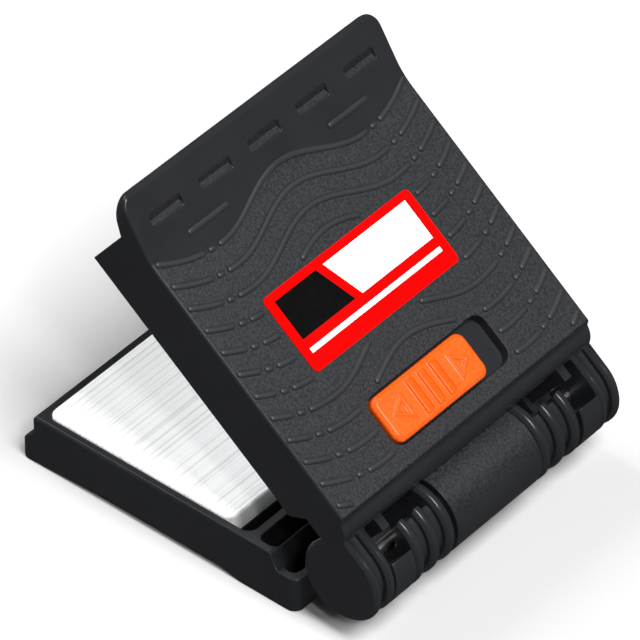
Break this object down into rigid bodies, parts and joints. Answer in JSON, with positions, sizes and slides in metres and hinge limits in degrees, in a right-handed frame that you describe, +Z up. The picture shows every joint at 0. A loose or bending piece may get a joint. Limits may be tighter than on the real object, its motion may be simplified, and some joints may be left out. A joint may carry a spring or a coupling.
{
  "type": "fibre cleaning clip",
  "caption": "Pocket clip with two hinged plastic jaws and felt pads, sprung open, with a wave-ribbed cover, finned hinge and thumb slider, for wiping bare optical fibre.",
  "frame": {"origin": "middle of the open clip's footprint, on the surface that it stands on", "axes": "+X along the hinge pin, -Y towards the finger lips, +Z up"},
  "size_m": [0.051, 0.0594, 0.0525],
  "materials": {
    "charcoal_plastic": "moulded, fine grain",
    "orange_plastic": "moulded, satin",
    "white_felt": "pressed felt",
    "printed_film": "printed film",
    "bare_steel": "ground",
    "spring_steel": "drawn wire"
  },
  "bodies": {
    "base": {"base_tray": "charcoal_plastic", "lower_pad": "white_felt", "torsion_spring": "spring_steel"},
    "cover": {"top_cover": "charcoal_plastic", "upper_pad": "white_felt", "top_label": "printed_film", "hinge_pin": "bare_steel"},
    "button": {"slide_button": "orange_plastic"}
  },
  "joints": [
    {"name": "cover_hinge", "type": "hinge", "parent": "base", "child": "cover", "pos_m": [0, 0.02368, 0.0095], "axis": [1, 0, 0], "range_deg": [0, 37.6], "stiffness_Nm_per_rad": 0.06, "springref_deg": -28.65, "deforming": ["torsion_spring"]},
    {"name": "button_slide", "type": "slide", "parent": "cover", "child": "button", "axis": [-1, 0, 0], "range_m": [0, 0.0044]}
  ]
}
